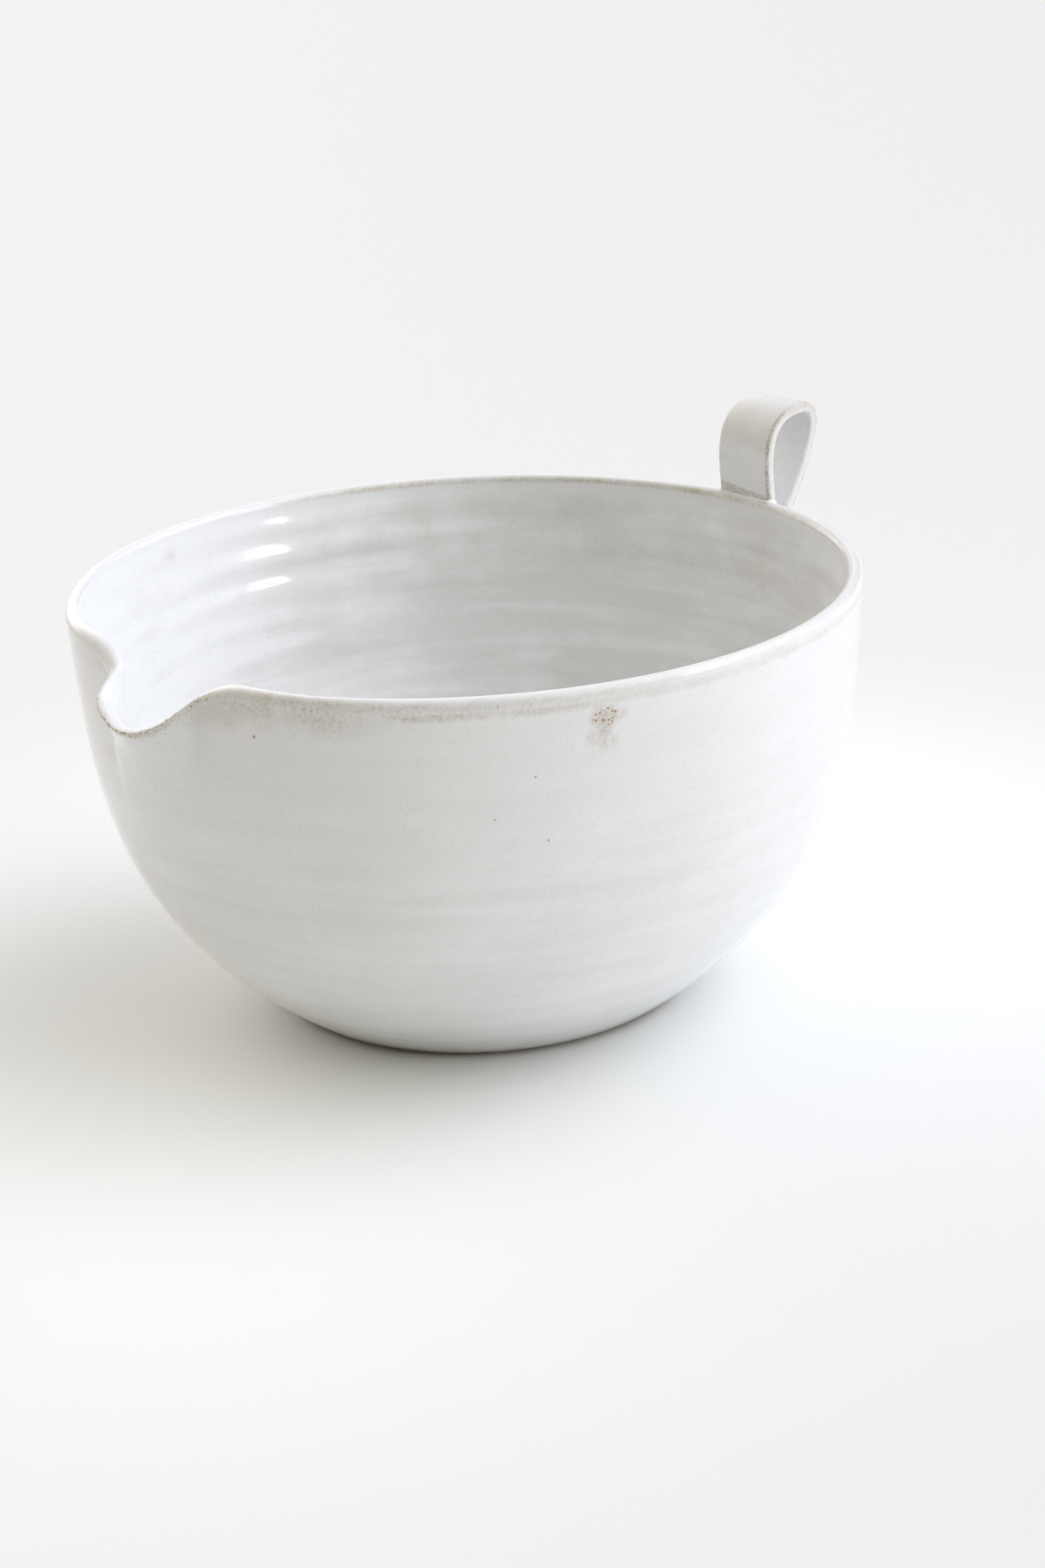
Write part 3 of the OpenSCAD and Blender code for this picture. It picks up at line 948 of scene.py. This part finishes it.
def pale_floor(stage):
    """A plain floor in matt white paint, with painted light: it is painted whiter round the bowl and greyer
    further away.
    """
    half = 50.0
    # Painted light: the floor is painted whiter out to 130 mm from the bowl and greyer beyond 340 mm
    white_out_to, grey_from = 130 * MM, 340 * MM
    material, tree, where = new_material("Matt white paint")
    out = add(tree, VECTOR, where, operation="LENGTH").node.outputs["Value"]
    painted_falloff = add(tree, MAP, out, white_out_to, grey_from, **SMOOTH)
    paint = add(tree, MIX, painted_falloff, (*stage.floor, 1), (*stage.far_floor, 1), data_type="RGBA")
    shader = add(tree, "ShaderNodeBsdfPrincipled", sockets={"Base Color": paint, "Roughness": 0.7})
    add(tree, "ShaderNodeOutputMaterial", shader)
    corners = [(-half, -half, 0), (half, -half, 0), (half, half, 0), (-half, half, 0)]
    mesh = bpy.data.meshes.new("floor")
    mesh.from_pydata(corners, [], [(0, 1, 2, 3)])
    mesh.materials.append(material)
    floor = put("floor", mesh)


def soft_light(stage):
    """Soft light all round: bright from the right and from behind, and a little from the other sides."""
    world = bpy.data.worlds.new("soft light")
    world.use_nodes = True
    tree = world.node_tree
    tree.nodes.clear()
    towards = add(tree, "ShaderNodeTexCoord").node.outputs["Generated"]
    light = (0.0, 0.0, 0.0)

    # Each light's hue and strength, the heading and height it comes from in degrees, and how gathered it is
    for hue, strength, heading, height, gathered in (
        (stage.right_hue, stage.right_light, 6, 44, 7.5),
        (stage.back_hue, stage.back_light, 121, 12, 5.8),
        (stage.front_hue, stage.front_light, 302, 35, 8.0),
        (stage.left_hue, stage.left_light, 180, 35, 5.0),
        (stage.back_hue, stage.top_light, 0, 90, 2.0),
    ):
        heading, height = radians(heading), radians(height)
        middle = Vector((cos(heading) * cos(height), sin(heading) * cos(height), sin(height)))
        middle = photo_turn(stage).to_3x3() @ middle
        facing = add(tree, VECTOR, towards, middle, operation="DOT_PRODUCT")
        facing = add(tree, "MAXIMUM", facing, 0.0)
        glow = add(tree, "POWER", facing, gathered)
        tint = tuple(strength * part for part in hue)
        glow = add(tree, VECTOR, tint, glow, operation="SCALE")
        light = add(tree, VECTOR, light, glow, operation="ADD")
    add(tree, "ShaderNodeOutputWorld", add(tree, "ShaderNodeBackground", light))
    bpy.context.scene.world = world


def gleams(stage):
    """Two soft upright lamps off to the right, which gleam on the finger marks inside the bowl."""
    right, up, tall = 1.3, 0.335, 0.3
    narrow, wide = 0.1, 0.24
    aim = Vector((0, 0, 0.1))
    for away, width in ((-0.42, narrow), (-0.63, wide)):
        data = bpy.data.lights.new("gleam", "AREA")
        data.shape = "RECTANGLE"
        data.size, data.size_y = width, tall
        data.energy = stage.gleam * width / wide
        place = Vector((right, away, up))
        aimed = (aim - place).to_track_quat("-Z", "Y").to_matrix().to_4x4()
        put("gleam", data).matrix_world = photo_turn(stage) @ Matrix.Translation(place) @ aimed


def camera(stage):
    """The camera, at the photograph's viewing angle."""
    data = bpy.data.cameras.new("camera")
    data.lens = stage.camera_lens
    data.sensor_width = 36
    seen_from = put("camera", data)
    seen_from.matrix_world = (
        photo_turn(stage)
        @ Matrix.Translation((0, -stage.camera_out, stage.camera_up))
        @ Matrix.Rotation(-stage.camera_yaw, 4, "Z")
        @ Matrix.Rotation(pi / 2 - stage.camera_pitch, 4, "X")
        @ Matrix.Rotation(stage.camera_roll, 4, "Z")
    )
    bpy.context.scene.camera = seen_from


# Operators


class BATTERBOWL_OT_bowl(bpy.types.Operator):
    """Throw the bowl, pull its spout and glaze it"""
    bl_idname = "batter_bowl.bowl"
    bl_label = "Throw the bowl"

    def execute(self, context):
        made = context.scene.batter_bowl
        bowl, spout = made.bowl, made.spout
        values = {
            "Columns": BOWL_COLUMNS, "Crowding": SPOUT_CROWDING, "Seed": float(bowl.seed),
            "Rim radius": bowl.rim_d / 2, "Wall height": wall_height(bowl),
            **titled(bowl, "height", "ring_gap", "ring_in", "ring_out", "deep_side", "deeper", "wobble"),
            **titled(spout, *own_names(spout)),
            "Material": glaze("White glaze on thrown stoneware", made.glaze, bowl_breaks),
        }
        mesh = shaped_by_nodes(profile_mesh(bowl), thrown_bowl_tree(values), values)
        placed("stoneware_bowl", mesh, "bowl_glaze", "bowl")
        return {"FINISHED"}


class BATTERBOWL_OT_strap(bpy.types.Operator):
    """Bend the strap into its loop and glaze it"""
    bl_idname = "batter_bowl.strap"
    bl_label = "Make the strap handle"

    def execute(self, context):
        made = context.scene.batter_bowl
        strap = made.strap
        values = {
            "Steps": STRAP_STEPS, **titled(strap, "width", "thick", "edge", "wobble"),
            "Material": glaze("White glaze on a stoneware strap", made.glaze, strap_breaks, strap),
        }
        mesh = shaped_by_nodes(strap_path(made.bowl, strap), strap_tree(values), values)
        placed("strap_handle", mesh, "handle_glaze", "handle")
        return {"FINISHED"}


class BATTERBOWL_OT_lutes(bpy.types.Operator):
    """Work clay in where the strap meets the rim and the wall"""
    bl_idname = "batter_bowl.lutes"
    bl_label = "Lute the strap on"

    def execute(self, context):
        made = context.scene.batter_bowl
        thin_glaze = glaze("Thin white glaze on luted clay", made.glaze, lute_breaks)
        for name, shaped in (("rim_joint", rim_lute_mesh), ("wall_joint", wall_lute_mesh)):
            mesh = shaped(made.bowl, made.strap)
            mesh.materials.append(thin_glaze)
            placed(name.replace("joint", "lute"), mesh, "joint_glaze", name)
        return {"FINISHED"}


class BATTERBOWL_OT_stage(bpy.types.Operator):
    """Set up the floor, the light and the camera"""
    bl_idname = "batter_bowl.stage"
    bl_label = "Set the stage"

    def execute(self, context):
        stage = context.scene.batter_bowl.stage
        pale_floor(stage)
        soft_light(stage)
        gleams(stage)
        camera(stage)
        context.scene.view_settings.view_transform = "Standard"
        return {"FINISHED"}


class BATTERBOWL_PT_panel(bpy.types.Panel):
    """Lists what the batter bowl is made from"""
    bl_label = "Batter bowl"
    bl_space_type = "VIEW_3D"
    bl_region_type = "UI"
    bl_category = "Batter bowl"

    def draw(self, context):
        made = context.scene.batter_bowl
        for group in (made.bowl, made.spout, made.strap, made.glaze, made.stage):
            box = self.layout.box()
            for name in own_names(group):
                box.prop(group, name)
        for operator in OPERATORS:
            self.layout.operator(operator.bl_idname)


OPERATORS = (BATTERBOWL_OT_stage, BATTERBOWL_OT_bowl, BATTERBOWL_OT_strap, BATTERBOWL_OT_lutes)
CLASSES = (
    BowlSizes, SpoutSizes, StrapSizes, GlazeColours, StageSizes, BatterBowl, *OPERATORS, BATTERBOWL_PT_panel,
)


def register():
    for cls in CLASSES:
        bpy.utils.register_class(cls)
    bpy.types.Scene.batter_bowl = PointerProperty(type=BatterBowl)


def unregister():
    del bpy.types.Scene.batter_bowl
    for cls in reversed(CLASSES):
        bpy.utils.unregister_class(cls)


def main():
    register()
    bpy.ops.batter_bowl.stage()
    bpy.ops.batter_bowl.bowl()
    bpy.ops.batter_bowl.strap()
    bpy.ops.batter_bowl.lutes()


if __name__ == "__main__":
    main()
